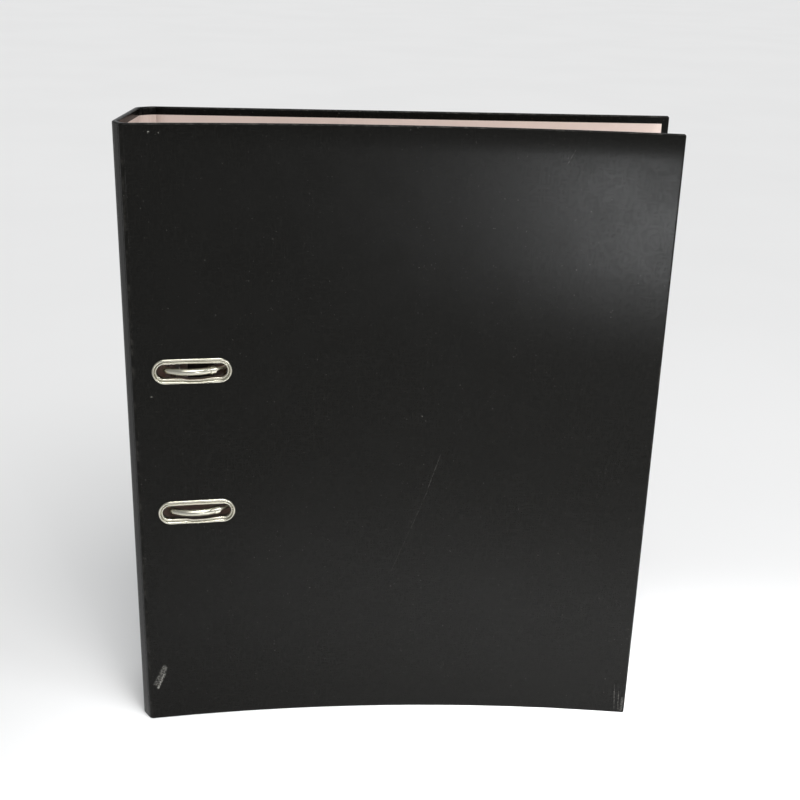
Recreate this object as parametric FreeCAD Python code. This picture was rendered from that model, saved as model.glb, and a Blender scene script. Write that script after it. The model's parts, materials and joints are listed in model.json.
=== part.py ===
import FreeCAD, Part
import math
import os

Vector = FreeCAD.Vector

# Lever arch file, standing closed on its lower edges.
# +Z is up, the spine is at -X, the front cover faces -Y.
# All sizes are in millimetres and all angles in degrees.

# Covers, spine and hinge strips
cover_height = 335.0
cover_width = 273.0
spine_width = 46.5
strip_width = 8.9
front_bow = 10.2

# Turn of the case at each crease, closed. They add up to a little under 180.
turn_back_crease = 31.0
turn_spine_back = 52.0
turn_spine_front = 40.0
turn_front_crease = 56.0

# Layers of the case
wrap = 0.3
board = 2.0
lining = 0.3
turn_in = 4.0
crease_gap = 0.1

# Slots in the front cover and their metal eyelets
hole_pitch = 80.0
ring_rise = 2.0
ring_from_back_crease = 21.2
eyelet_length = 41.0
eyelet_width = 13.8
rim_width = 1.4
rim_height = 1.1
ledge_height = 0.5
opening_length = 36.0
opening_width = 7.7
dip_depth = 0.7
dip_start = -4.5
dip_end = 11.0
eyelet_wall = 0.7
inside_rim_width = 1.6
inside_rim_height = 0.6

# Arch: one wire with two rings and the spindle they swing on
wire_radius = 1.8
crown_stand = 1.9
leg_offset = 14.3
shoulder_slope = 20.0
crown_radius = 23.0
corner_bend = 5.0
spindle_bend = 4.0
mouth_offset = 11.4
mouth_drop = 4.3
collar_wall = 0.45
collar_length = 3.0
socket_depth = 2.2
running_clearance = 0.05

# Fixed posts
post_offset = 19.5
tip_radius = 1.15
tip_clearance = 0.15
tip_slope = 40.0
tip_bend = 3.0
neck_length = 3.0
neck_below_bend = 5.0
foot_radius = 3.2
foot_height = 1.0

# Base plate and its rivets
plate_length = 122.0
plate_thickness = 1.2
plate_margin = 5.2
plate_corner = 5.0
rivet_inset = 7.0
rivet_radius = 1.6
rivet_head_radius = 3.5
rivet_head = 0.8

# Spindle eyes, crank and spring
eye_wall = 1.3
eye_length = 11.0
spindle_lift = 5.0
crank_width = 8.0
crank_thickness = 1.5
crank_lift = 2.0
spring_wire = 0.45
spring_gap = 0.55
spring_turns = 6
spring_length = 10.0

# Lever, its pivot and its roller
lever_width = 12.0
lever_wall = 1.2
lever_from_leg = 15.5
pivot_drop = 30.0
pivot_radius = 1.5
pivot_lift = 5.2
lug_gap = 0.6
lug_wall = 1.2
roller_radius = 2.8
roller_pin_radius = 1.2
side_gap = 0.4
roller_top_gap = 0.45
lever_reach = 66.0
channel_reach = 40.0
grip_length = 18.0
grip_wall = 1.3

# Compressor bar on the posts
bar_width = 13.0
bar_length = 100.0
bar_thickness = 1.2
bar_height = 5.0
bar_clearance = 0.1
clip_width = 9.0
clip_length = 26.0
clip_thickness = 0.8

# Finger ring and label on the spine
finger_radius = 10.0
finger_wall = 0.8
finger_rim_width = 3.0
finger_rim_height = 0.7
finger_height = 72.0
label_width = 38.0
label_height = 150.0
label_thickness = 0.2
label_base = 150.0

thickness = wrap + board + lining
middle = cover_height / 2 + ring_rise
upper_ring = middle + hole_pitch / 2
lower_ring = middle - hole_pitch / 2


def direction(angle):
    """Unit vector at an angle from +X in the plan."""
    return Vector(math.cos(math.radians(angle)), math.sin(math.radians(angle)), 0)


def prism(corners, low, high):
    """Straight upright solid on a plan outline."""
    base = [Vector(corner.x, corner.y, low) for corner in corners]
    outline = Part.makePolygon(base + [base[0]])
    return Part.Face(outline).extrude(Vector(0, 0, high - low))


# The plan of the outer skin, followed from the back crease to the front fore-edge.
heading_back_strip = 180 + turn_back_crease
heading_spine = heading_back_strip + turn_spine_back
heading_front_strip = heading_spine + turn_spine_front
heading_front = heading_front_strip + turn_front_crease

back_run = direction(heading_back_strip) * strip_width
spine_run = direction(heading_spine) * spine_width
front_run = direction(heading_front_strip) * strip_width
cover_run = direction(heading_front) * cover_width
case_depth = -(back_run + spine_run + front_run + cover_run).y
case_left = (back_run + spine_run).x

back_crease = Vector(-(cover_width + case_left) / 2, (case_depth - rivet_head) / 2, 0)
back_edge = back_crease + Vector(cover_width, 0, 0)
spine_back = back_crease + back_run
spine_front = spine_back + spine_run
front_crease = spine_front + front_run
front_edge = front_crease + cover_run

# The front cover is an arc that is hollow on the outside.
bow_radius = (cover_width ** 2 / 4 + front_bow ** 2) / (2 * front_bow)
bow_slope = math.degrees(math.asin(cover_width / 2 / bow_radius))
bow_centre = (front_crease + front_edge) * 0.5 + direction(heading_front - 90) * (bow_radius - front_bow)


class Panel:
    """One stiff panel of the case, between two cuts across its layers."""

    def __init__(self, start, end, start_cut, end_cut, heading, reach, free_start=False, free_end=False):
        self.start = start
        self.end = end
        self.along = direction(heading)
        self.inward = direction(heading + 90)
        self.start_cut = direction(start_cut)
        self.end_cut = direction(end_cut)
        self.reach = reach
        self.free_start = free_start
        self.free_end = free_end
        self.bowed = False

    def region(self, inset, low, high):
        """Upright block between the two cuts, set in at a free edge."""
        start_inset = inset if self.free_start else crease_gap / 2
        end_inset = inset if self.free_end else crease_gap / 2
        first = self.start + self.along * start_inset
        last = self.end - self.along * end_inset
        outside = 3.0
        corners = [
            first - self.start_cut * outside,
            last - self.end_cut * outside,
            last + self.end_cut * self.reach,
            first + self.start_cut * self.reach,
        ]
        return prism(corners, low, high)

    def shell(self, near, far, low, high):
        """Layer between two depths under the outer skin, running on past both ends."""
        if self.bowed:
            foot = Vector(bow_centre.x, bow_centre.y, low)
            outer = Part.makeCylinder(bow_radius + far, high - low, foot)
            return outer.cut(Part.makeCylinder(bow_radius + near, high - low, foot))
        overrun = self.along * 8.0
        corners = [
            self.start - overrun + self.inward * near,
            self.end + overrun + self.inward * near,
            self.end + overrun + self.inward * far,
            self.start - overrun + self.inward * far,
        ]
        return prism(corners, low, high)

    def layer(self, near, far, inset, low, high):
        """Layer between two depths, trimmed to the panel."""
        return self.shell(near, far, low, high).common(self.region(inset, low, high))

    def solids(self):
        """Board, wrap and lining of the panel."""
        core = self.layer(wrap, wrap + board, wrap, wrap, cover_height - wrap)
        paper = self.layer(wrap + board, thickness, turn_in, turn_in, cover_height - turn_in)
        skin = self.layer(0, thickness, 0, 0, cover_height).cut(core).cut(paper)
        return core, skin, paper


def bisector(first_heading, second_heading):
    """Inward line that halves the angle at a crease."""
    return (first_heading + second_heading) / 2 + 90


flat_reach = thickness * 1.5
cut_back = bisector(180, heading_back_strip)
cut_spine_back = bisector(heading_back_strip, heading_spine)
cut_spine_front = bisector(heading_spine, heading_front_strip)
cut_front = bisector(heading_front_strip, heading_front + bow_slope)
cut_front_edge = heading_front - bow_slope + 90

back_panel = Panel(back_edge, back_crease, 270, cut_back, 180, flat_reach, free_start=True)
back_strip = Panel(back_crease, spine_back, cut_back, cut_spine_back, heading_back_strip, flat_reach)
spine_panel = Panel(spine_back, spine_front, cut_spine_back, cut_spine_front, heading_spine, flat_reach)
front_strip = Panel(spine_front, front_crease, cut_spine_front, cut_front, heading_front_strip, flat_reach)
front_panel = Panel(front_crease, front_edge, cut_front, cut_front_edge, heading_front,
                    front_bow + flat_reach, free_end=True)
front_panel.bowed = True

# The rings stand on the back cover, and the slots lie over them in the bowed front cover.
ring_x = back_crease.x + ring_from_back_crease
slot_heading = math.degrees(math.acos((ring_x - bow_centre.x) / bow_radius)) - 90
slot_along = direction(slot_heading)
slot_inward = direction(slot_heading + 90)
slot_centre = bow_centre + slot_inward * bow_radius


def slot_block(height, length, width, outside, inside):
    """Round-ended block across the front cover at a slot."""
    half_run = (length - width) / 2
    centre = slot_centre + Vector(0, 0, height) - slot_inward * outside
    side = Vector(0, 0, width / 2)
    left = centre - slot_along * half_run
    right = centre + slot_along * half_run
    edges = [
        Part.makeLine(left - side, right - side),
        Part.Arc(right - side, right + slot_along * width / 2, right + side).toShape(),
        Part.makeLine(right + side, left + side),
        Part.Arc(left + side, left - slot_along * width / 2, left - side).toShape(),
    ]
    return Part.Face(Part.Wire(edges)).extrude(slot_inward * (outside + inside))


def eyelet(height):
    """Pressed metal eyelet that lines one slot."""
    low = height - eyelet_width
    high = height + eyelet_width
    wall_length = opening_length + 2 * eyelet_wall
    wall_width = opening_width + 2 * eyelet_wall
    reach = thickness + 4.0
    rim = slot_block(height, eyelet_length, eyelet_width, 4.0, reach)
    step = slot_block(height, eyelet_length - 2 * rim_width, eyelet_width - 2 * rim_width, 4.0, reach)
    tube = slot_block(height, wall_length, wall_width, 4.0, reach)
    inner_rim = slot_block(height, wall_length + 2 * inside_rim_width,
                           wall_width + 2 * inside_rim_width, 4.0, reach)
    body = rim.cut(step).common(front_panel.shell(-rim_height, 0, low, high))
    body = body.fuse(step.common(front_panel.shell(-ledge_height, 0, low, high)))
    body = body.fuse(tube.common(front_panel.shell(0, thickness, low, high)))
    inside = front_panel.shell(thickness, thickness + inside_rim_height, low, high)
    body = body.fuse(inner_rim.common(inside))
    opening = slot_block(height, opening_length, opening_width, 6.0, reach + 2)
    dip_corner = slot_centre + slot_along * dip_start - slot_inward * 3.0
    dip_far = slot_centre + slot_along * dip_end - slot_inward * 3.0
    dip_low = height - opening_width / 2 - dip_depth
    dip_top = height
    dip_sides = [dip_corner, dip_far, dip_far + slot_inward * 3.2, dip_corner + slot_inward * 3.2]
    dip = prism(dip_sides, dip_low, dip_top)
    return body.cut(opening).cut(dip).removeSplitter()


def slot_hole(height):
    """Hole through board, wrap and lining for one eyelet."""
    return slot_block(height, opening_length + 2 * eyelet_wall, opening_width + 2 * eyelet_wall, 3.0,
                      thickness + 3.0)


# The mechanism is placed by its distance from the ring centre in X (across), its height
# above the back lining (lift) and its height in Z.
lining_y = back_crease.y - thickness


def spot(across, lift, height):
    """Point of the mechanism."""
    return Vector(ring_x + across, lining_y - lift, height)


def block(across_1, across_2, lift_1, lift_2, low, high):
    """Box of the mechanism between two values of each measure."""
    corner = spot(across_1, lift_2, low)
    return Part.makeBox(across_2 - across_1, lift_2 - lift_1, high - low, corner)


def upright(radius, across, height, lift_1, lift_2):
    """Round bar standing on the back cover."""
    return Part.makeCylinder(radius, lift_2 - lift_1, spot(across, lift_1, height), Vector(0, -1, 0))


def along_z(radius, across, lift, low, high):
    """Round bar parallel to the spine."""
    return Part.makeCylinder(radius, high - low, spot(across, lift, low), Vector(0, 0, 1))


def along_x(radius, across_1, across_2, lift, height):
    """Round bar square to the spine."""
    return Part.makeCylinder(radius, across_2 - across_1, spot(across_1, lift, height), Vector(1, 0, 0))


def bent_wire(points, bends, radius):
    """Round wire along straight runs joined by tangent bends."""
    edges = []
    here = points[0]
    for before, corner, after, bend in zip(points, points[1:], points[2:], bends):
        to_before = (before - corner).normalize()
        to_after = (after - corner).normalize()
        half = to_before.getAngle(to_after) / 2
        start = corner + to_before * (bend / math.tan(half))
        stop = corner + to_after * (bend / math.tan(half))
        halfway = (to_before + to_after).normalize()
        centre = corner + halfway * (bend / math.sin(half))
        edges.append(Part.makeLine(here, start))
        edges.append(Part.Arc(start, centre - halfway * bend, stop).toShape())
        here = stop
    edges.append(Part.makeLine(here, points[-1]))
    section = Part.Wire(Part.makeCircle(radius, points[0], points[1] - points[0]))
    return Part.Wire(edges).makePipeShell([section], True, False)


# Shape of one ring, seen along Z. The mouth points square to its line from the spindle,
# so that it leaves the tip of the post straight when the arch swings open.
crown_lift = lining_y - slot_centre.y + crown_stand
mouth_lift = crown_lift - mouth_drop
mouth_angle = math.atan((mouth_offset + leg_offset) / (mouth_lift - spindle_lift))
crown_end_lift = crown_lift - crown_radius * (1 - math.cos(mouth_angle))
crown_end = mouth_offset - (crown_end_lift - mouth_lift) / math.tan(mouth_angle)
crown_centre = crown_end - crown_radius * math.sin(mouth_angle)
slope = math.radians(shoulder_slope)
peak_lean = (mouth_angle - slope) / 2
peak_reach = crown_radius / math.cos((mouth_angle + slope) / 2)
peak = crown_centre + peak_reach * math.sin(peak_lean)
peak_lift = crown_lift - crown_radius + peak_reach * math.cos(peak_lean)
shoulder_lift = peak_lift - (peak + leg_offset) * math.tan(slope)


def ring_points(height):
    """Corners of one ring from the mouth to the spindle."""
    return [
        spot(mouth_offset, mouth_lift, height),
        spot(peak, peak_lift, height),
        spot(-leg_offset, shoulder_lift, height),
        spot(-leg_offset, spindle_lift, height),
    ]


def arch():
    """Both rings and the spindle, one bent wire with a socket in each mouth."""
    points = ring_points(lower_ring) + ring_points(upper_ring)[::-1]
    bends = [crown_radius, corner_bend, spindle_bend, spindle_bend, corner_bend, crown_radius]
    wire = bent_wire(points, bends, wire_radius)
    for height in (lower_ring, upper_ring):
        mouth = spot(mouth_offset, mouth_lift, height)
        back_along = Vector(-math.cos(mouth_angle), -math.sin(mouth_angle), 0)
        collar = Part.makeCylinder(wire_radius + collar_wall, collar_length, mouth, back_along)
        socket = Part.makeCylinder(tip_radius + tip_clearance, socket_depth, mouth, back_along)
        wire = wire.fuse(collar).cut(socket)
    return wire


def post(height):
    """Fixed post with a thin bent tip that stands in the mouth of the arch."""
    reach_in = socket_depth - tip_clearance * 2
    tip_end = spot(mouth_offset - reach_in * math.cos(mouth_angle),
                   mouth_lift + reach_in * math.sin(mouth_angle), height)
    elbow = mouth_offset + math.cos(mouth_angle)
    elbow_lift = mouth_lift - math.sin(mouth_angle)
    bend_lift = elbow_lift - (post_offset - elbow) * math.tan(math.radians(tip_slope))
    neck_lift = bend_lift - tip_bend - neck_below_bend
    corners = [
        tip_end,
        spot(elbow, elbow_lift, height),
        spot(post_offset, bend_lift, height),
        spot(post_offset, neck_lift, height),
    ]
    tip = bent_wire(corners, [tip_bend, tip_bend], tip_radius)
    neck = Part.makeCone(wire_radius, tip_radius, neck_length, spot(post_offset, neck_lift, height),
                         Vector(0, -1, 0))
    shaft = upright(wire_radius, post_offset, height, 0, neck_lift)
    foot = upright(foot_radius, post_offset, height, plate_thickness, plate_thickness + foot_height)
    return shaft.fuse([neck, tip, foot])


# Base plate
plate_left = -leg_offset - plate_margin
lever_left = -leg_offset - wire_radius + lever_from_leg - lever_width / 2 + 1.8
lever_right = lever_left + lever_width
bar_left = post_offset - bar_width / 2
plate_right = bar_left + bar_width + 4.5
plate_low = middle - plate_length / 2
plate_high = middle + plate_length / 2
eye_radius = wire_radius + running_clearance
eye_outer = eye_radius + eye_wall
eye_start = hole_pitch / 2 - spindle_bend - 1.0 - eye_length
pivot_height = middle - pivot_drop
rivet_spots = []
for name, height in (("lower", plate_low + rivet_inset), ("upper", plate_high - rivet_inset)):
    rivet_spots.append((name + "_spine_side", plate_left + rivet_inset, height))
    rivet_spots.append((name + "_edge_side", plate_right - rivet_inset, height))


def rivet_hole(across, height):
    """Hole through the plate and the back cover for one rivet."""
    return upright(rivet_radius, across, height, -thickness - 1, plate_thickness + 1)


def rivet(across, height):
    """Rivet with a flat head outside the cover and one on the plate."""
    shank = upright(rivet_radius, across, height, -thickness, plate_thickness)
    outside = upright(rivet_head_radius, across, height, -thickness - rivet_head, -thickness)
    inside = upright(rivet_head_radius, across, height, plate_thickness, plate_thickness + rivet_head)
    return shank.fuse([outside, inside])


def base_plate():
    """Pressed plate with two spindle eyes and two lugs for the lever's pivot."""
    plate = block(plate_left, plate_right, 0, plate_thickness, plate_low, plate_high)
    uprights = [edge for edge in plate.Edges if abs(edge.tangentAt(edge.FirstParameter).y) > 0.9]
    plate = plate.makeFillet(plate_corner, uprights)
    for sign in (-1, 1):
        near = middle + sign * eye_start
        far = middle + sign * (eye_start + eye_length)
        low = min(near, far)
        high = max(near, far)
        web = block(-leg_offset - eye_outer, -leg_offset + eye_outer, plate_thickness / 2,
                    spindle_lift, low, high)
        tube = along_z(eye_outer, -leg_offset, spindle_lift, low, high)
        bore = along_z(eye_radius, -leg_offset, spindle_lift, low - 1, high + 1)
        plate = plate.fuse([web, tube]).cut(bore)
    lug_radius = pivot_radius + 1.6
    for inner_side in (lever_left - lug_gap - lug_wall, lever_right + lug_gap):
        outer_side = inner_side + lug_wall
        lug = block(inner_side, outer_side, plate_thickness / 2, pivot_lift,
                    pivot_height - lug_radius, pivot_height + lug_radius)
        cap = along_x(lug_radius, inner_side, outer_side, pivot_lift, pivot_height)
        plate = plate.fuse([lug, cap])
    plate = plate.cut(pivot_pin())
    for side, across, height in rivet_spots:
        plate = plate.cut(rivet_hole(across, height))
    for height in (lower_ring, upper_ring):
        plate = plate.cut(upright(wire_radius, post_offset, height, -1, plate_thickness + 1))
    return plate.removeSplitter()


def pivot_pin():
    """Pin held in the two lugs."""
    outside = lug_gap + lug_wall
    return along_x(pivot_radius, lever_left - outside, lever_right + outside, pivot_lift, pivot_height)


# Crank, roller and lever
crank_top = crank_lift + crank_thickness
roller_lift = crank_top + running_clearance + roller_radius
web_lift = roller_lift + roller_radius + roller_top_gap
lever_top = web_lift + lever_wall
channel_base = crank_top + 0.4
end_radius = pivot_lift - plate_thickness - 0.4


def crank():
    """Arm on the spindle that the roller holds down."""
    low = middle - crank_width / 2
    high = middle + crank_width / 2
    hub = along_z(eye_outer, -leg_offset, spindle_lift, low, high)
    arm_end = lever_right - lever_wall - side_gap - 1.0
    arm = block(-leg_offset, arm_end, crank_lift, crank_top, low, high)
    return hub.fuse(arm).cut(along_z(wire_radius, -leg_offset, spindle_lift, low - 1, high + 1))


def spring():
    """Coil round the spindle that swings the arch open."""
    coil_radius = wire_radius + spring_gap + spring_wire
    low = middle + crank_width / 2 + 1.0
    helix = Part.makeHelix(spring_length / spring_turns, spring_length, coil_radius)
    section = Part.Wire(Part.makeCircle(spring_wire, Vector(coil_radius, 0, 0), Vector(0, 1, 0)))
    coil = Part.Wire(helix.Edges).makePipeShell([section], True, True)
    coil.translate(spot(-leg_offset, spindle_lift, low))
    return coil


def lever():
    """Folded steel lever with a flat tongue for the grip."""
    low = pivot_height
    knee = low + channel_reach
    end = low + lever_reach
    web = block(lever_left, lever_right, web_lift, lever_top, low + 1.0, end)
    body = web
    for inner_side in (lever_left, lever_right - lever_wall):
        outer_side = inner_side + lever_wall
        wall = block(inner_side, outer_side, channel_base, lever_top, low + 1.0, knee)
        ear = along_x(end_radius, inner_side, outer_side, pivot_lift, low)
        body = body.fuse([wall, ear])
    ear_hole = along_x(pivot_radius + running_clearance, lever_left - 1, lever_right + 1, pivot_lift, low)
    body = body.cut(ear_hole)
    body = body.cut(along_x(roller_pin_radius, lever_left - 1, lever_right + 1, roller_lift, middle))
    return body.removeSplitter()


def roller_pin():
    """Pin across the lever that the roller turns on."""
    return along_x(roller_pin_radius, lever_left, lever_right, roller_lift, middle)


def roller():
    """Roller that bears on the crank."""
    left = lever_left + lever_wall + side_gap
    right = lever_right - lever_wall - side_gap
    solid = along_x(roller_radius, left, right, roller_lift, middle)
    return solid.cut(along_x(roller_pin_radius + running_clearance, left - 1, right + 1, roller_lift, middle))


def grip():
    """Moulded sleeve on the end of the lever."""
    end = pivot_height + lever_reach
    low = end - grip_length
    sleeve = block(lever_left - grip_wall, lever_right + grip_wall, web_lift - grip_wall,
                   lever_top + grip_wall, low, end + grip_wall)
    sleeve = sleeve.makeFillet(grip_wall * 0.8, sleeve.Edges)
    return sleeve.cut(block(lever_left, lever_right, web_lift, lever_top, low - 1, end))


# Compressor bar
bar_base = plate_thickness + foot_height + bar_clearance
bar_hole = wire_radius + bar_clearance


def compressor_bar():
    """Folded bar that slides on the two posts and holds the sheets down."""
    right = bar_left + bar_width
    low = middle - bar_length / 2
    high = middle + bar_length / 2
    bar = block(bar_left, right, bar_base, bar_base + bar_height, low, high)
    bar = bar.cut(block(bar_left + bar_thickness, right - bar_thickness, bar_base - 1,
                        bar_base + bar_height - bar_thickness, low - 1, high + 1))
    for height in (lower_ring, upper_ring):
        bar = bar.cut(upright(bar_hole, post_offset, height, bar_base - 1, bar_base + bar_height + 1))
    return bar


def compressor_clip():
    """Spring clip under the top of the bar that grips the lower post."""
    top = bar_base + bar_height - bar_thickness
    low = lower_ring - clip_length / 2
    left = post_offset - clip_width / 2
    clip = block(left, left + clip_width, top - clip_thickness, top, low, low + clip_length)
    return clip.cut(upright(bar_hole, post_offset, lower_ring, 0, top + 1))


# Finger ring and label on the spine
spine_centre = (spine_back + spine_front) * 0.5
finger_spot = spine_centre + Vector(0, 0, finger_height)


def spine_round(radius, near, far):
    """Round bar through the spine between two depths under its skin."""
    start = finger_spot + spine_panel.inward * near
    return Part.makeCylinder(radius, far - near, start, spine_panel.inward)


def finger_ring():
    """Metal ring that lines the finger hole."""
    wall_radius = finger_radius + finger_wall
    rim_radius = wall_radius + finger_rim_width
    tube = spine_round(wall_radius, 0, thickness)
    outside = spine_round(rim_radius, -finger_rim_height, 0)
    inside = spine_round(rim_radius, thickness, thickness + finger_rim_height)
    bore = spine_round(finger_radius, -5, thickness + 5)
    return tube.fuse([outside, inside]).cut(bore)


def spine_label():
    """Plain paper label on the outside of the spine."""
    half = spine_panel.along * (label_width / 2)
    lift = spine_panel.inward * -label_thickness
    corners = [spine_centre - half, spine_centre + half, spine_centre + half + lift,
               spine_centre - half + lift]
    return prism(corners, label_base, label_base + label_height)


nodes = {}
back_board, back_wrap, back_lining = back_panel.solids()
for side, across, height in rivet_spots:
    hole = rivet_hole(across, height)
    back_board = back_board.cut(hole)
    back_wrap = back_wrap.cut(hole)
    back_lining = back_lining.cut(hole)
    nodes["rivet_" + side] = rivet(across, height)
nodes["back_board"] = back_board
nodes["back_wrap"] = back_wrap
nodes["back_lining"] = back_lining

for name, panel in (("back_strip", back_strip), ("front_strip", front_strip)):
    core, skin, paper = panel.solids()
    nodes[name + "_board"] = core
    nodes[name + "_wrap"] = skin
    nodes[name + "_lining"] = paper

finger_hole = spine_round(finger_radius + finger_wall, -5, thickness + 5)
for name, solid in zip(("board", "wrap", "lining"), spine_panel.solids()):
    nodes["spine_" + name] = solid.cut(finger_hole)
nodes["finger_ring"] = finger_ring()
nodes["spine_label"] = spine_label()

for name, solid in zip(("board", "wrap", "lining"), front_panel.solids()):
    nodes["front_" + name] = solid.cut(slot_hole(lower_ring)).cut(slot_hole(upper_ring))
nodes["lower_eyelet"] = eyelet(lower_ring)
nodes["upper_eyelet"] = eyelet(upper_ring)

nodes["base_plate"] = base_plate()
nodes["lower_post"] = post(lower_ring)
nodes["upper_post"] = post(upper_ring)
nodes["lever_pivot_pin"] = pivot_pin()
nodes["arch"] = arch()
nodes["arch_crank"] = crank()
nodes["arch_spring"] = spring()
nodes["lever"] = lever()
nodes["lever_grip"] = grip()
nodes["roller_pin"] = roller_pin()
nodes["roller"] = roller()
nodes["compressor_bar"] = compressor_bar()
nodes["compressor_clip"] = compressor_clip()

os.makedirs("parts", exist_ok=True)
for name, shape in nodes.items():
    shape.exportStep("parts/" + name + ".step")
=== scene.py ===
import bpy
import bmesh
import json
import math
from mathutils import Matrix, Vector


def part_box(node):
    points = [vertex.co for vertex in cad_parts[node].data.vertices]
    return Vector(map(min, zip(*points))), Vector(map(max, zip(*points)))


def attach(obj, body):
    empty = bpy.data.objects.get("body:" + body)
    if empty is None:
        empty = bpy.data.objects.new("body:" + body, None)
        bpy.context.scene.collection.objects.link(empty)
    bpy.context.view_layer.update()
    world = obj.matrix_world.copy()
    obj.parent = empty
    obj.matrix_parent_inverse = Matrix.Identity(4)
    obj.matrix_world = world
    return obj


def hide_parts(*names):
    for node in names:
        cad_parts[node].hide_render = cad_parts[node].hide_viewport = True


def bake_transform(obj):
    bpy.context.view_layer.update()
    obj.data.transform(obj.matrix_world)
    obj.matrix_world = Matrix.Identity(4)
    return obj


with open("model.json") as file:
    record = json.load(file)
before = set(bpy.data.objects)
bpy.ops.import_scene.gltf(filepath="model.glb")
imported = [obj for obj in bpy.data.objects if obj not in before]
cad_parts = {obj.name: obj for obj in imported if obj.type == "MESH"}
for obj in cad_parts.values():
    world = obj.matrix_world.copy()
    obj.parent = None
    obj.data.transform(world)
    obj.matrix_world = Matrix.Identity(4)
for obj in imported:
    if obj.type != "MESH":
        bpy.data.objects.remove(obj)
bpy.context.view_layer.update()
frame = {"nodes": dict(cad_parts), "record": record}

joints = {joint["name"]: joint for joint in frame["record"]["behaviour"]["joints"]}
MM = 0.001


# ---------------------------------------------------------------- camera

scene = bpy.context.scene
camera = bpy.data.objects.new("camera", bpy.data.cameras.new("camera"))
scene.collection.objects.link(camera)
scene.camera = camera
yaw, pitch, roll = 0.092983, 0.370618, 0.032138
frame_pixels = 800
focal_pixels = 1246.61
sensor_width = 36.0
camera.location = (-0.05307, -0.63242, 0.42923)
camera.rotation_euler = (math.pi / 2 - pitch, 0, -yaw)
camera.rotation_euler.rotate_axis("Z", roll)
camera.data.sensor_width = sensor_width
camera.data.lens = focal_pixels / frame_pixels * sensor_width
camera.data.shift_x = -0.0114
camera.data.shift_y = 0.0036
camera.data.clip_start = 0.01


# ---------------------------------------------------------------- materials

def link(tree, value, socket):
    """Join a socket to another, or set its value."""
    if isinstance(value, bpy.types.NodeSocket):
        tree.links.new(value, socket)
    else:
        socket.default_value = value


class Shader:
    """Shorthand for building one material's nodes."""

    def __init__(self, name):
        self.material = bpy.data.materials.new(name)
        self.material.use_nodes = True
        self.tree = self.material.node_tree
        self.surface = self.tree.nodes["Principled BSDF"]
        self.position = self.tree.nodes.new("ShaderNodeTexCoord").outputs["Object"]

    def math(self, operation, first, second=0.0):
        node = self.tree.nodes.new("ShaderNodeMath")
        node.operation = operation
        link(self.tree, first, node.inputs[0])
        link(self.tree, second, node.inputs[1])
        return node.outputs[0]

    def axes(self):
        node = self.tree.nodes.new("ShaderNodeSeparateXYZ")
        self.tree.links.new(self.position, node.inputs[0])
        return node.outputs[0], node.outputs[1], node.outputs[2]

    def stretched(self, scale):
        """Position with each axis scaled, so that a noise runs in lines."""
        node = self.tree.nodes.new("ShaderNodeMapping")
        node.inputs["Scale"].default_value = scale
        self.tree.links.new(self.position, node.inputs["Vector"])
        return node.outputs[0]

    def noise(self, scale, detail=3.0, roughness=0.55, stretch=(1, 1, 1)):
        node = self.tree.nodes.new("ShaderNodeTexNoise")
        self.tree.links.new(self.stretched(stretch), node.inputs["Vector"])
        node.inputs["Scale"].default_value = scale
        node.inputs["Detail"].default_value = detail
        node.inputs["Roughness"].default_value = roughness
        return node.outputs["Fac"]

    def ramp(self, value, low, high, start=0.0, end=1.0):
        """Smooth step of a value from start at low to end at high."""
        node = self.tree.nodes.new("ShaderNodeMapRange")
        node.interpolation_type = "SMOOTHSTEP"
        link(self.tree, value, node.inputs["Value"])
        node.inputs["From Min"].default_value = low
        node.inputs["From Max"].default_value = high
        node.inputs["To Min"].default_value = start
        node.inputs["To Max"].default_value = end
        return node.outputs["Result"]

    def mix(self, factor, first, second):
        node = self.tree.nodes.new("ShaderNodeMix")
        node.data_type = "RGBA"
        link(self.tree, factor, node.inputs["Factor"])
        link(self.tree, first, node.inputs["A"])
        link(self.tree, second, node.inputs["B"])
        return node.outputs["Result"]

    def attribute(self, name):
        node = self.tree.nodes.new("ShaderNodeAttribute")
        node.attribute_name = name
        return node.outputs["Fac"]

    def bump(self, height, distance, strength, below=None):
        node = self.tree.nodes.new("ShaderNodeBump")
        node.inputs["Strength"].default_value = strength
        node.inputs["Distance"].default_value = distance
        self.tree.links.new(height, node.inputs["Height"])
        if below is not None:
            self.tree.links.new(below, node.inputs["Normal"])
        return node.outputs[0]

    def set(self, **values):
        """Fill shader sockets by name, with underscores for spaces."""
        for name, value in values.items():
            link(self.tree, value, self.surface.inputs[name.replace("_", " ")])

    def scratch(self, start, end, width, soft=0.35):
        """Mask of a thin line between two points given by X and Z."""
        x, _, z = self.axes()
        run = (end[0] - start[0], end[1] - start[1])
        length = math.hypot(*run)
        along_x, along_z = run[0] / length, run[1] / length
        from_x = self.math("SUBTRACT", x, start[0])
        from_z = self.math("SUBTRACT", z, start[1])
        along = self.math("ADD", self.math("MULTIPLY", from_x, along_x),
                          self.math("MULTIPLY", from_z, along_z))
        across = self.math("SUBTRACT", self.math("MULTIPLY", from_x, along_z),
                           self.math("MULTIPLY", from_z, along_x))
        near = self.ramp(self.math("ABSOLUTE", across), width * soft, width, 1.0, 0.0)
        inside = self.math("MULTIPLY", self.ramp(along, 0, length * 0.1),
                           self.ramp(along, length * 0.9, length, 1.0, 0.0))
        return self.math("MULTIPLY", near, inside)


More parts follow.
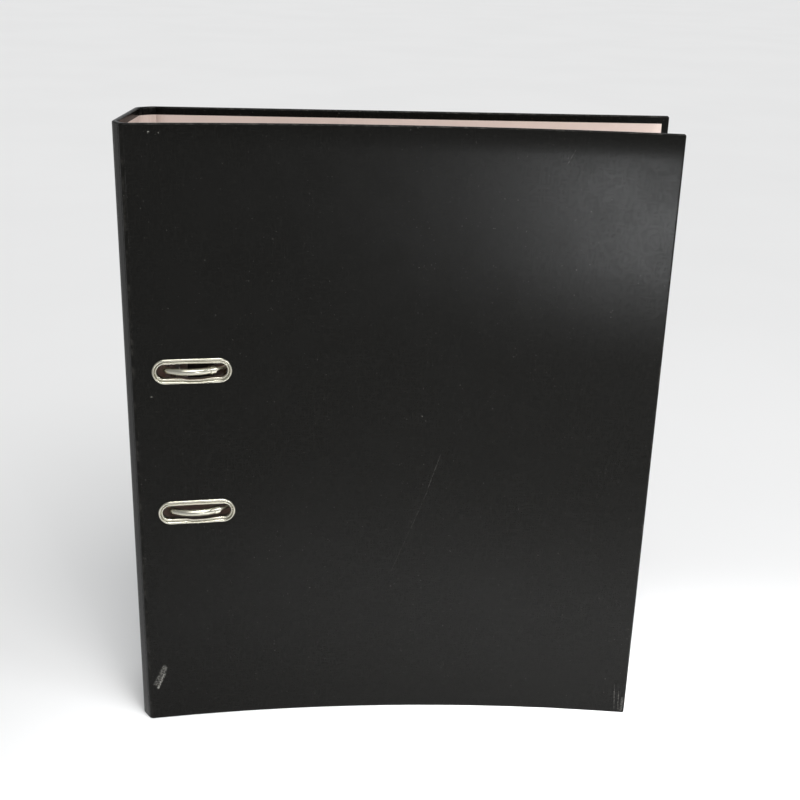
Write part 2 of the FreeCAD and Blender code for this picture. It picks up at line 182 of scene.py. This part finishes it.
# Scratches and chips on the front cover: two ends as X and Z, width, strength
cover_marks = [
    ((0.0222, 0.1611), (0.0155, 0.1390), 0.00016, 0.16),
    ((0.0162, 0.1400), (0.0066, 0.1140), 0.00015, 0.13),
    ((0.0072, 0.1160), (-0.0035, 0.0878), 0.00014, 0.08),
    ((-0.1285, 0.0350), (-0.1350, 0.0215), 0.00200, 0.26),
    ((-0.1292, 0.0300), (-0.1338, 0.0195), 0.00080, 0.60),
    ((0.0821, 0.3258), (0.0783, 0.3178), 0.00018, 0.16),
    ((-0.1253, 0.3313), (-0.1251, 0.3303), 0.00055, 1.00),
    ((-0.1207, 0.3308), (-0.1205, 0.3301), 0.00045, 0.90),
    ((-0.1300, 0.1961), (-0.1286, 0.1959), 0.00035, 0.55),
    ((0.1277, 0.0198), (0.1290, 0.0015), 0.00030, 0.14),
    ((0.1305, 0.0150), (0.1312, 0.0010), 0.00040, 0.17),
    ((0.1330, 0.0110), (0.1328, 0.0008), 0.00090, 0.16),
]


def cover_paper():
    """Black paper with a pressed linen grain, rubbed pale at its edges."""
    s = Shader("cover_paper")
    x, y, z = s.axes()
    thread = 0.80 * MM
    waves = 2 * math.pi / thread
    across = s.math("ADD", x, y)
    sway = s.math("MULTIPLY", s.noise(90, 2.0, 0.5), 0.0012)
    thread_u = s.math("SINE", s.math("MULTIPLY", s.math("ADD", across, sway), waves))
    thread_v = s.math("SINE", s.math("MULTIPLY", s.math("ADD", z, sway), waves))
    weave = s.math("MULTIPLY", thread_u, thread_v)
    upright = s.noise(1500, 2.0, 0.5, (1, 1, 0.16))
    level = s.noise(1500, 2.0, 0.5, (0.16, 0.16, 1))
    slub = s.math("MAXIMUM", upright, level)
    broad = s.noise(14, 4.0, 0.6)
    blotch = s.noise(55, 3.0, 0.6)
    dark = s.mix(s.ramp(weave, -0.6, 0.9), (0.0012, 0.0011, 0.0009, 1),
                 (0.0072, 0.0070, 0.0058, 1))
    dark = s.mix(s.math("MULTIPLY", s.ramp(slub, 0.50, 0.70), 0.5), dark,
                 (0.0090, 0.0088, 0.0078, 1))
    dark = s.mix(s.ramp(broad, 0.35, 0.8, 0.0, 0.5), dark, (0.0058, 0.0057, 0.0051, 1))
    rub = s.math("MULTIPLY", s.attribute("wear_and_shade"), s.ramp(s.noise(240, 4.0, 0.7), 0.46, 0.64))
    colour = s.mix(s.math("MULTIPLY", rub, 0.16), dark, (0.20, 0.19, 0.17, 1))
    fleck = s.ramp(s.noise(1100, 2.0, 0.5), 0.738, 0.775)
    colour = s.mix(s.math("MULTIPLY", fleck, 0.40), colour, (0.30, 0.29, 0.27, 1))
    front_side = s.ramp(y, 0.0, 0.004, 1.0, 0.0)
    marks = None
    for start, end, width, strength in cover_marks:
        mark = s.math("MULTIPLY", s.scratch(start, end, width), strength)
        mark = s.math("MULTIPLY", mark, front_side)
        marks = mark if marks is None else s.math("MAXIMUM", marks, mark)
    broken = s.ramp(s.noise(1300, 3.0, 0.65), 0.40, 0.62)
    colour = s.mix(s.math("MULTIPLY", marks, broken), colour, (0.46, 0.45, 0.41, 1))
    s.set(Base_Color=colour)
    crest = s.math("ADD", s.ramp(weave, -0.8, 1.0, 0.0, 1.2), s.ramp(slub, 0.40, 0.72, 0.0, 0.6))
    rough = s.math("ADD", s.ramp(blotch, 0.3, 0.7, 0.235, 0.26), s.math("MULTIPLY", crest, -0.045))
    s.set(Roughness=rough)
    s.surface.inputs["Specular IOR Level"].default_value = 0.095
    fine = s.bump(s.math("ADD", weave, s.math("MULTIPLY", slub, 1.6)), 0.000006, 0.5)
    s.set(Normal=s.bump(blotch, 0.00006, 0.20, fine))
    return s.material


def lining_paper():
    """Pinkish buff paper, with painted shade making it a little darker along the folds."""
    s = Shader("lining_paper")
    fibre = s.noise(700, 4.0, 0.65, (1, 1, 0.35))
    broad = s.noise(10, 4.0, 0.6)
    colour = s.mix(s.ramp(broad, 0.3, 0.7), (0.64, 0.52, 0.465, 1), (0.71, 0.585, 0.53, 1))
    colour = s.mix(s.math("MULTIPLY", s.ramp(fibre, 0.35, 0.75), 0.15), colour,
                   (0.60, 0.50, 0.44, 1))
    # Painted shade: the lining's crease pieces are darkened along the inside creases
    fold = s.math("MULTIPLY", s.attribute("wear_and_shade"), 0.35)
    colour = s.mix(fold, colour, (0.36, 0.28, 0.23, 1))
    s.set(Base_Color=colour, Roughness=s.ramp(fibre, 0.3, 0.7, 0.78, 0.92))
    s.surface.inputs["Specular IOR Level"].default_value = 0.3
    s.set(Normal=s.bump(fibre, 0.00012, 0.5))
    return s.material


def metal(name, colour, darker, roughness, brushed=(1, 1, 1), scale=300):
    """Plated metal with fine rubbing marks and dull patches."""
    s = Shader(name)
    lines = s.noise(scale, 3.0, 0.6, brushed)
    patch = s.noise(60, 3.0, 0.6)
    speck = s.ramp(s.noise(1400, 2.0, 0.5), 0.74, 0.80)
    tone = s.mix(s.ramp(patch, 0.40, 0.75), colour, darker)
    tone = s.mix(s.math("MULTIPLY", speck, 0.35), tone, (0.10, 0.09, 0.08, 1))
    rough = s.math("ADD", s.ramp(lines, 0.3, 0.7, roughness * 0.8, roughness * 1.2),
                   s.ramp(patch, 0.45, 0.8, 0.0, 0.08))
    s.set(Base_Color=tone, Roughness=rough)
    s.surface.inputs["Metallic"].default_value = 1.0
    s.set(Normal=s.bump(s.math("ADD", lines, patch), 0.000008, 0.4))
    return s.material


def plastic():
    """Moulded black plastic with a fine spark-eroded grain."""
    s = Shader("black_plastic")
    grain = s.noise(1600, 2.0, 0.5)
    broad = s.noise(40, 3.0, 0.6)
    colour = s.mix(s.ramp(broad, 0.3, 0.7), (0.012, 0.012, 0.013, 1), (0.024, 0.024, 0.026, 1))
    s.set(Base_Color=colour, Roughness=s.ramp(broad, 0.3, 0.7, 0.38, 0.52))
    s.set(Normal=s.bump(grain, 0.00008, 0.5))
    return s.material


def label_paper():
    """Off-white label, faintly stained and flecked with grey fibres."""
    s = Shader("label_paper")
    fibre = s.noise(900, 4.0, 0.6)
    broad = s.noise(28, 4.0, 0.6)
    colour = s.mix(s.ramp(broad, 0.3, 0.75), (0.80, 0.79, 0.74, 1), (0.70, 0.68, 0.61, 1))
    colour = s.mix(s.math("MULTIPLY", s.ramp(fibre, 0.4, 0.7), 0.12), colour, (0.5, 0.48, 0.44, 1))
    s.set(Base_Color=colour, Roughness=s.ramp(fibre, 0.3, 0.7, 0.6, 0.75))
    s.set(Normal=s.bump(fibre, 0.00006, 0.5))
    return s.material


def card():
    """Raw greyboard with visible fibres."""
    s = Shader("greyboard")
    fibre = s.noise(500, 5.0, 0.7, (1, 1, 0.5))
    colour = s.mix(s.ramp(fibre, 0.3, 0.7), (0.26, 0.23, 0.20, 1), (0.38, 0.35, 0.31, 1))
    s.set(Base_Color=colour, Roughness=s.ramp(fibre, 0.3, 0.7, 0.8, 0.95))
    s.set(Normal=s.bump(fibre, 0.00015, 0.6))
    return s.material


finishes = {
    "cover_paper": cover_paper(),
    "lining_paper": lining_paper(),
    "greyboard": card(),
    "label_paper": label_paper(),
    "black_plastic": plastic(),
    "nickel": metal("nickel", (0.46, 0.445, 0.375, 1), (0.36, 0.345, 0.285, 1), 0.20),
    "zinc_steel": metal("zinc_steel", (0.62, 0.62, 0.63, 1), (0.46, 0.46, 0.48, 1), 0.34,
                        (1, 1, 0.04), 900),
    "spring_steel": metal("spring_steel", (0.42, 0.42, 0.43, 1), (0.24, 0.24, 0.25, 1), 0.30),
}
for entry in frame["record"]["subparts"]:
    node = frame["nodes"][entry["node"]]
    node.data.materials.clear()
    node.data.materials.append(finishes[entry["material_slot"]])


# CAD nodes whose edges are softened, with the bevel's width in millimetres
bevelled = {
    "base_plate": 0.25,
    "lever": 0.20,
    "lever_grip": 0.60,
    "compressor_bar": 0.40,
    "compressor_clip": 0.20,
}
for name, width in bevelled.items():
    bevel = frame["nodes"][name].modifiers.new("soft edges", "BEVEL")
    bevel.width = width * MM
    bevel.segments = 2
    bevel.limit_method = "ANGLE"
    bevel.angle_limit = math.radians(50)


# ---------------------------------------------------------------- mesh helpers

def finish_piece(name, mesh, body, slot, *replaced, wear_and_shade=None):
    """Make a piece from a bmesh, with its finish, and set it on a body."""
    bmesh.ops.recalc_face_normals(mesh, faces=mesh.faces)
    data = bpy.data.meshes.new(name)
    mesh.to_mesh(data)
    mesh.free()
    if wear_and_shade is not None:
        layer = data.attributes.new("wear_and_shade", "FLOAT", "POINT")
        layer.data.foreach_set("value", wear_and_shade)
    data.materials.append(finishes[slot])
    data.shade_smooth()
    piece = bpy.data.objects.new(name, data)
    scene.collection.objects.link(piece)
    if body:
        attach(piece, body)
    if replaced:
        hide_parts(*replaced)
    return piece


def skin_rows(rows, endless=False):
    """Loops of points joined into one closed skin, capped unless the last loop meets the first."""
    mesh = bmesh.new()
    grid = [[mesh.verts.new(point) for point in row] for row in rows]
    pairs = list(zip(grid, grid[1:]))
    if endless:
        pairs.append((grid[-1], grid[0]))
    for first, second in pairs:
        count = len(first)
        for i in range(count):
            j = (i + 1) % count
            mesh.faces.new((first[i], first[j], second[j], second[i]))
    if not endless:
        mesh.faces.new(grid[0])
        mesh.faces.new(grid[-1][::-1])
    return mesh


def cut_away(piece, cutters):
    """Cut holes in a piece, with crisp shading at their edges, and keep the result as its mesh."""
    for tool in cutters:
        modifier = piece.modifiers.new("cut", "BOOLEAN")
        modifier.operation = "DIFFERENCE"
        modifier.solver = "EXACT"
        modifier.object = tool
    bpy.context.view_layer.update()
    graph = bpy.context.evaluated_depsgraph_get()
    result = bpy.data.meshes.new_from_object(piece.evaluated_get(graph))
    piece.modifiers.clear()
    piece.data = result
    for tool in cutters:
        bpy.data.objects.remove(tool)
    result.set_sharp_from_angle(angle=math.radians(40))


# ---------------------------------------------------------------- the case in plan

def plan_point(name):
    """Crease in the plan, from its hinge."""
    return Vector(joints[name]["pos_m"][:2])


back_crease = plan_point("back_cover_crease")
spine_back = plan_point("spine_back_crease")
spine_front = plan_point("spine_front_crease")
front_crease = plan_point("front_cover_hinge")
back_low, back_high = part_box("back_wrap")
back_edge = Vector((back_high[0], back_crease.y))
height = back_high[2]
thickness = back_high[1] - back_low[1]

front_node = frame["nodes"]["front_wrap"]
front_edge = Vector(min((v.co for v in front_node.data.vertices), key=lambda co: co.y)[:2])
# The front cover is bowed: a ray from in front finds its skin half way along, near the foot
ray_start = Vector(((front_crease.x + front_edge.x) / 2, -1, 0.01))
_, bow_spot, _, _ = front_node.ray_cast(ray_start, Vector((0, 1, 0)))
bow_spot = Vector(bow_spot[:2])


def circle_through(a, b, c):
    """Centre of the circle through three points."""
    d = 2 * (a.x * (b.y - c.y) + b.x * (c.y - a.y) + c.x * (a.y - b.y))
    aa, bb, cc = a.length_squared, b.length_squared, c.length_squared
    x = (aa * (b.y - c.y) + bb * (c.y - a.y) + cc * (a.y - b.y)) / d
    y = (aa * (c.x - b.x) + bb * (a.x - c.x) + cc * (b.x - a.x)) / d
    return Vector((x, y))


# Distance over which a panel's direction is measured
tangent_step = 0.0001


class Panel:
    """Stiff panel of the case, seen in plan: flat, or round a centre."""

    def __init__(self, name, body, start, end, centre=None):
        self.name = name
        self.body = body
        self.start = start
        self.end = end
        self.centre = centre
        self.fold_start = None
        self.fold_end = None
        if centre is None:
            self.length = (end - start).length
        else:
            self.radius = (start - centre).length
            self.angle = math.atan2(start.y - centre.y, start.x - centre.x)
            self.length = 2 * self.radius * math.asin((end - start).length / 2 / self.radius)

    def place(self, run, depth):
        """Point at a run along the outer skin and a depth under it."""
        if self.centre is None:
            along = (self.end - self.start).normalized()
            return self.start + along * run + Vector((-along.y, along.x)) * depth
        angle = self.angle - run / self.radius
        return self.centre + Vector((math.cos(angle), math.sin(angle))) * (self.radius + depth)

    def heading(self, run):
        step = self.place(run + tangent_step, 0) - self.place(run, 0)
        return math.atan2(step.y, step.x)

    def last_heading(self):
        return self.heading(self.length - 2 * tangent_step)

    def first(self, depth):
        """Where the stiff part starts at a depth."""
        if self.fold_start is None:
            return 0.0
        return fold_run + depth * math.tan(self.fold_start)

    def last(self, depth):
        """Where the stiff part ends at a depth."""
        if self.fold_end is None:
            return self.length
        return self.length - fold_run - depth * math.tan(self.fold_end)


fold_run = 1.8 * MM
back = Panel("back", "back_cover", back_edge, back_crease)
back_strip = Panel("back_strip", "back_strip", back_crease, spine_back)
spine = Panel("spine", "spine", spine_back, spine_front)
front_strip = Panel("front_strip", "front_strip", spine_front, front_crease)
front = Panel("front", "front_cover", front_crease, front_edge,
              circle_through(front_crease, bow_spot, front_edge))
panels = [back, back_strip, spine, front_strip, front]
for before, after in zip(panels, panels[1:]):
    turn = (after.heading(0) - before.last_heading()) % (2 * math.pi)
    before.fold_end = turn / 2
    after.fold_start = turn / 2

edge_radius = 0.8 * MM
corner_radius = 1.1 * MM
bend_steps = 5
# Wear from 0 to 1 on the rounded edges, beside them, and along the creases; on the lining the
# crease values are painted shade
worn_bend = 1.0
worn_edge = 0.8
fold_wear_and_shade = 0.55
# Panels longer than this get more loops, and a rounded end keeps at least this much thickness
long_panel = 0.1
least_shrink = 0.02
turn_in = 4.0 * MM
skin_depth = thickness - 0.15 * MM
paper_depth = thickness - 0.17 * MM
paper_edge_radius = 0.03 * MM


def section(near, far, low, high, radius, rows=26):
    """Closed outline of a panel's thickness, with rounded long edges, and its wear."""
    points = []
    for i in range(rows + 1):
        points.append((near, low + radius + (high - low - 2 * radius) * i / rows, 0.0))
    for i in range(1, bend_steps):
        a = math.pi / 2 * i / bend_steps
        points.append((near + radius * (1 - math.cos(a)),
                       high - radius * (1 - math.sin(a)), worn_bend))
    points.append((near + radius, high, worn_edge))
    points.append((far - radius, high, worn_edge))
    for i in range(1, bend_steps):
        a = math.pi / 2 * i / bend_steps
        points.append((far - radius * (1 - math.sin(a)),
                       high - radius * (1 - math.cos(a)), worn_bend))
    for i in range(rows + 1):
        points.append((far, high - radius - (high - low - 2 * radius) * i / rows, 0.0))
    for i in range(1, bend_steps):
        a = math.pi / 2 * i / bend_steps
        points.append((far - radius * (1 - math.cos(a)),
                       low + radius * (1 - math.sin(a)), worn_bend))
    points.append((far - radius, low, worn_edge))
    points.append((near + radius, low, worn_edge))
    for i in range(1, bend_steps):
        a = math.pi / 2 * i / bend_steps
        points.append((near + radius * (1 - math.sin(a)),
                       low + radius * (1 - math.cos(a)), worn_bend))
    return points


def free_stations(steps=8):
    """Distances in from a free edge, from the corner's radius down to nothing."""
    return [corner_radius * (1 - math.sin(math.pi / 2 * k / steps)) for k in range(steps + 1)]


def panel_rows(panel, near, far, low, high, radius, margin=0.0, rounding=0.0):
    """Loops of points along a stiff panel, and the wear at each point.

    A station is a share of the panel's run or, where a free edge is rounded, a distance from it.
    """
    outline = section(near, far, low, high, radius)
    middle_depth = (near + far) / 2
    middle_height = (low + high) / 2
    free_low = panel.fold_start is None
    free_high = panel.fold_end is None
    count = 48 if panel.length > long_panel else 8
    stations = [(i / count, 0.0) for i in range(count + 1)]
    if rounding and free_high:
        limit = panel.length - margin - rounding
        stations = [item for item in stations if item[0] * panel.length < limit]
        stations += [(None, away) for away in free_stations()]
    if rounding and free_low:
        limit = margin + rounding
        stations = [item for item in stations if item[0] * panel.length > limit]
        stations = [(None, away) for away in free_stations()[::-1]] + stations
    rows, wear_and_shade = [], []
    for share, away in stations:
        row = []
        for depth, z, worn in outline:
            start, end = panel.first(depth), panel.last(depth)
            if free_low:
                start = margin
            if free_high:
                end = panel.length - margin
            squeeze, trim, at_edge = 0.0, 0.0, 0.0
            if share is not None:
                run = start + (end - start) * share
            else:
                run = start + away if free_low else end - away
                trim = rounding - math.sqrt(max(rounding ** 2 - (rounding - away) ** 2, 0))
                if away < radius:
                    squeeze = radius - math.sqrt(max(radius ** 2 - (radius - away) ** 2, 0))
                    at_edge = 1.0
            shrink = max(1 - 2 * squeeze / (far - near), least_shrink)
            narrow = 1 - 2 * trim / (high - low)
            new_depth = middle_depth + (depth - middle_depth) * shrink
            spot = panel.place(run, new_depth)
            row.append((spot.x, spot.y, middle_height + (z - middle_height) * narrow))
            wear_and_shade.append(max(worn, at_edge))
        rows.append(row)
    return rows, wear_and_shade


def fold_rows(before, after, near, far, low, high, radius):
    """Loops of points round a crease, and the wear at each point, which the lining paper turns
    into painted shade.
    """
    rows, wear_and_shade = [], []
    outline = section(near, far, low, high, radius)
    half = before.fold_end
    heading = before.last_heading() + half + math.pi / 2
    inward = Vector((math.cos(heading), math.sin(heading)))
    steps = 10
    for i in range(steps + 1):
        t = i / steps
        row = []
        for depth, z, worn in outline:
            first = before.place(before.last(depth), depth)
            last = after.place(after.first(depth), depth)
            corner = after.start + inward * (depth / math.cos(half))
            spot = first * (1 - t) ** 2 + corner * 2 * t * (1 - t) + last * t ** 2
            row.append((spot.x, spot.y, z))
            wear_and_shade.append(max(worn, fold_wear_and_shade * math.sin(math.pi * t) ** 2))
        rows.append(row)
    return rows, wear_and_shade


case_pieces = {}
for panel in panels:
    rows, wear_and_shade = panel_rows(panel, 0.0, skin_depth, 0.0, height, edge_radius,
                            rounding=corner_radius)
    piece = finish_piece(panel.name + "_case", skin_rows(rows), panel.body, "cover_paper",
                         panel.name + "_wrap", panel.name + "_board", wear_and_shade=wear_and_shade)
    case_pieces[panel.name] = piece
    rows, wear_and_shade = panel_rows(panel, paper_depth, thickness, turn_in, height - turn_in,
                            paper_edge_radius, margin=turn_in)
    piece = finish_piece(panel.name + "_paper", skin_rows(rows), panel.body, "lining_paper",
                         panel.name + "_lining", wear_and_shade=[0.0] * len(wear_and_shade))
    case_pieces[panel.name + "_paper"] = piece

for before, after in zip(panels, panels[1:]):
    start = before.place(before.last(0), 0)
    end = after.place(after.first(0), 0)
    for kind, slot, near, far, low, high, radius in (
            ("fold", "cover_paper", 0.0, skin_depth, 0.0, height, edge_radius),
            ("paper_fold", "lining_paper", paper_depth, thickness, turn_in, height - turn_in,
             paper_edge_radius)):
        rows, wear_and_shade = fold_rows(before, after, near, far, low, high, radius)
        name = before.name + "_to_" + after.name + "_" + kind
        piece = finish_piece(name, skin_rows(rows), None, slot, wear_and_shade=wear_and_shade)
        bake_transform(piece)


# ---------------------------------------------------------------- eyelets, finger ring, rivets

def stadium(length, width, line=16, bend=16):
    """Points round a slot with round ends, from the lower left."""
    half = (length - width) / 2
    radius = width / 2
    points = [(-half + 2 * half * i / line, -radius) for i in range(line)]
    for i in range(bend):
        a = -math.pi / 2 + math.pi * i / bend
        points.append((half + radius * math.cos(a), radius * math.sin(a)))
    points += [(half - 2 * half * i / line, radius) for i in range(line)]
    for i in range(bend):
        a = math.pi / 2 + math.pi * i / bend
        points.append((-half + radius * math.cos(a), radius * math.sin(a)))
    return points


def run_at(panel, x):
    """Run along a panel's skin at an X."""
    low, high = 0.0, panel.length
    for _ in range(40):
        middle = (low + high) / 2
        if panel.place(middle, 0).x < x:
            low = middle
        else:
            high = middle
    return low


opening = (36.0 * MM, 7.7 * MM)
rim = (41.0 * MM, 13.8 * MM)
cut_slot = (opening[0] + 1.6 * MM, opening[1] + 2.6 * MM)
cut_depths = (-3.0, 6.0)
# The dent in the opening's lower edge: where it starts, how long and how deep it is,
# and the shares of its length over which it sinks and comes back
dent_start, dent_length, dent_depth = -4.5, 15.5, 0.75 * MM
dent_in, dent_out = 0.10, 0.50
# Rim in section: share of the way from the opening to the rim, and depth in millimetres
eyelet_profile = [
    (0.00, 3.00), (0.00, 1.50), (0.00, -0.20), (0.03, -0.42), (0.10, -0.56), (0.20, -0.62),
    (0.30, -0.58), (0.36, -0.40), (0.40, -0.08), (0.44, -0.10), (0.48, -0.55), (0.55, -0.88),
    (0.62, -1.04), (0.72, -1.10), (0.82, -1.05), (0.91, -0.88), (0.97, -0.60), (1.00, -0.28),
    (1.00, 0.00), (0.60, 0.00), (0.26, 0.05), (0.24, 2.60), (0.55, 2.60), (0.76, 2.64),
    (0.80, 2.85), (0.72, 3.05), (0.50, 3.20), (0.25, 3.20), (0.08, 3.14),
]


def make_eyelet(side):
    """Rolled metal rim of one slot; gives the rows of the cutter for the slot."""
    low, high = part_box(side + "_eyelet")
    middle = (low[2] + high[2]) / 2
    centre = run_at(front, (low[0] + high[0]) / 2)
    inner = stadium(*opening)
    outer = stadium(*rim)
    rows = []
    for (u1, v1), (u2, v2) in zip(inner, outer):
        dip = 0.0
        if v1 < 0:
            share = (u1 / MM - dent_start) / dent_length
            if 0 < share < 1:
                rise = min(share / dent_in, 1.0)
                fall = min((1 - share) / dent_out, 1.0)
                dip = dent_depth * rise * rise * (3 - 2 * rise) * fall * fall * (3 - 2 * fall)
        row = []
        for w, depth in eyelet_profile:
            u = u1 + (u2 - u1) * w
            v = v1 + (v2 - v1) * w - dip * (1 - w) ** 0.7
            spot = front.place(centre + u, depth * MM)
            row.append((spot.x, spot.y, middle + v))
        rows.append(row)
    finish_piece(side + "_eyelet_metal", skin_rows(rows, endless=True), "front_cover", "nickel",
                 side + "_eyelet")
    cutter_rows = []
    for depth in cut_depths:
        row = []
        for u, v in stadium(*cut_slot):
            spot = front.place(centre + u, depth * MM)
            row.append((spot.x, spot.y, middle + v))
        cutter_rows.append(row)
    return cutter_rows


def cutter(rows):
    """Solid that cut_away takes out of a piece and then removes."""
    mesh = skin_rows(rows)
    bmesh.ops.recalc_face_normals(mesh, faces=mesh.faces)
    data = bpy.data.meshes.new("cutter")
    mesh.to_mesh(data)
    mesh.free()
    tool = bpy.data.objects.new("cutter", data)
    scene.collection.objects.link(tool)
    return tool


slot_rows = [make_eyelet(side) for side in ("lower", "upper")]
cut_away(case_pieces["front"], [cutter(rows) for rows in slot_rows])
cut_away(case_pieces["front_paper"], [cutter(rows) for rows in slot_rows])

low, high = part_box("finger_ring")
ring_height = (low[2] + high[2]) / 2
ring_run = spine.length / 2
finger_hole = 10.9
# Finger ring and rivets in section: radius and depth in millimetres
finger_profile = [
    (10.00, 2.9), (10.00, -0.25), (10.10, -0.50), (10.40, -0.66), (11.20, -0.70), (12.40, -0.66),
    (13.30, -0.48), (13.72, -0.22), (13.80, 0.0), (12.00, 0.0), (10.80, 0.05), (10.80, 2.58),
    (13.40, 2.60), (13.80, 2.75), (13.60, 3.10), (12.60, 3.28), (11.00, 3.30), (10.20, 3.18),
]
rivet_profile = [
    (0.02, -0.80), (1.6, -0.76), (2.6, -0.60), (3.3, -0.30), (3.5, 0.0), (1.6, 0.05), (1.6, 3.75),
    (3.5, 3.80), (3.3, 4.15), (2.5, 4.48), (1.4, 4.60), (0.9, 4.45), (0.02, 4.40),
]


def round_rows(panel, run, z, profile, steps):
    """Loops round an axis square to a panel."""
    rows = []
    for i in range(steps):
        a = 2 * math.pi * i / steps
        row = []
        for radius, depth in profile:
            spot = panel.place(run + radius * MM * math.cos(a), depth * MM)
            row.append((spot.x, spot.y, z + radius * MM * math.sin(a)))
        rows.append(row)
    return rows


ring_rows = round_rows(spine, ring_run, ring_height, finger_profile, 72)
finish_piece("finger_ring_metal", skin_rows(ring_rows, endless=True), "spine", "nickel",
             "finger_ring")
hole_profile = [(finger_hole, depth) for depth in cut_depths]
hole_rows = [list(row) for row in zip(*round_rows(spine, ring_run, ring_height, hole_profile, 64))]
cut_away(case_pieces["spine"], [cutter(hole_rows)])
cut_away(case_pieces["spine_paper"], [cutter(hole_rows)])

for name in [node for node in frame["nodes"] if node.startswith("rivet_")]:
    low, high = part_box(name)
    run = back.start.x - (low[0] + high[0]) / 2
    rows = round_rows(back, run, (low[2] + high[2]) / 2, rivet_profile, 40)
    finish_piece(name + "_metal", skin_rows(rows, endless=True), "back_cover", "zinc_steel", name)


# ---------------------------------------------------------------- stage

def area_light(name, place, target, size, power, colour, spread=180):
    """Lamp of a width and height, turned to a target and hidden from the camera."""
    data = bpy.data.lights.new(name, "AREA")
    data.energy = power
    data.color = colour
    data.shape = "RECTANGLE"
    data.size, data.size_y = size
    data.spread = math.radians(spread)
    light = bpy.data.objects.new(name, data)
    light.location = place
    light.rotation_euler = (Vector(target) - Vector(place)).to_track_quat("-Z", "Y").to_euler()
    light.visible_camera = False
    scene.collection.objects.link(light)


def floor():
    """Plain pale floor, far wider than the view."""
    mesh = bmesh.new()
    bmesh.ops.create_grid(mesh, x_segments=2, y_segments=2, size=60)
    data = bpy.data.meshes.new("floor")
    mesh.to_mesh(data)
    mesh.free()
    s = Shader("floor")
    soft = s.noise(3, 3.0, 0.5)
    colour = s.mix(s.ramp(soft, 0.3, 0.7), (0.89, 0.89, 0.89, 1), (0.875, 0.875, 0.875, 1))
    s.set(Base_Color=colour)
    s.surface.inputs["Roughness"].default_value = 0.9
    s.surface.inputs["Specular IOR Level"].default_value = 0.1
    data.materials.append(s.material)
    piece = bpy.data.objects.new("floor", data)
    scene.collection.objects.link(piece)


floor()
world = bpy.data.worlds.new("studio")
scene.world = world
world.use_nodes = True
world.node_tree.nodes["Background"].inputs["Color"].default_value = (0.96, 0.98, 1.0, 1)
world.node_tree.nodes["Background"].inputs["Strength"].default_value = 0.50
sun = bpy.data.lights.new("overhead", "SUN")
sun.energy = 1.7
sun.angle = math.radians(40)
sun.color = (1.0, 0.985, 0.965)
overhead = bpy.data.objects.new("overhead", sun)
overhead.rotation_euler = (math.radians(37), math.radians(10), 0)
scene.collection.objects.link(overhead)
strip_colour = (0.96, 0.98, 1.0)
fill_colour = (0.97, 0.98, 1.0)
# Two small strips give the sheen on the cover's right; two wider lamps light the floor beside it
area_light("sheen", (0.1150, -0.62, 0.150), (0.1150, -0.03, 0.25), (0.010, 0.12), 0.47,
           strip_colour)
area_light("glow", (0.094, -0.62, 0.214), (0.10, -0.03, 0.31), (0.026, 0.045), 0.10,
           strip_colour)
area_light("floor_right", (0.52, -0.42, 0.55), (0.20, -0.16, 0.0), (0.25, 0.25), 1.6,
           fill_colour)
area_light("floor_front", (0.12, -0.16, 0.44), (0.12, -0.13, 0.0), (0.40, 0.08), 0.7,
           fill_colour, spread=60)
scene.view_settings.view_transform = "Standard"
scene.view_settings.look = "None"
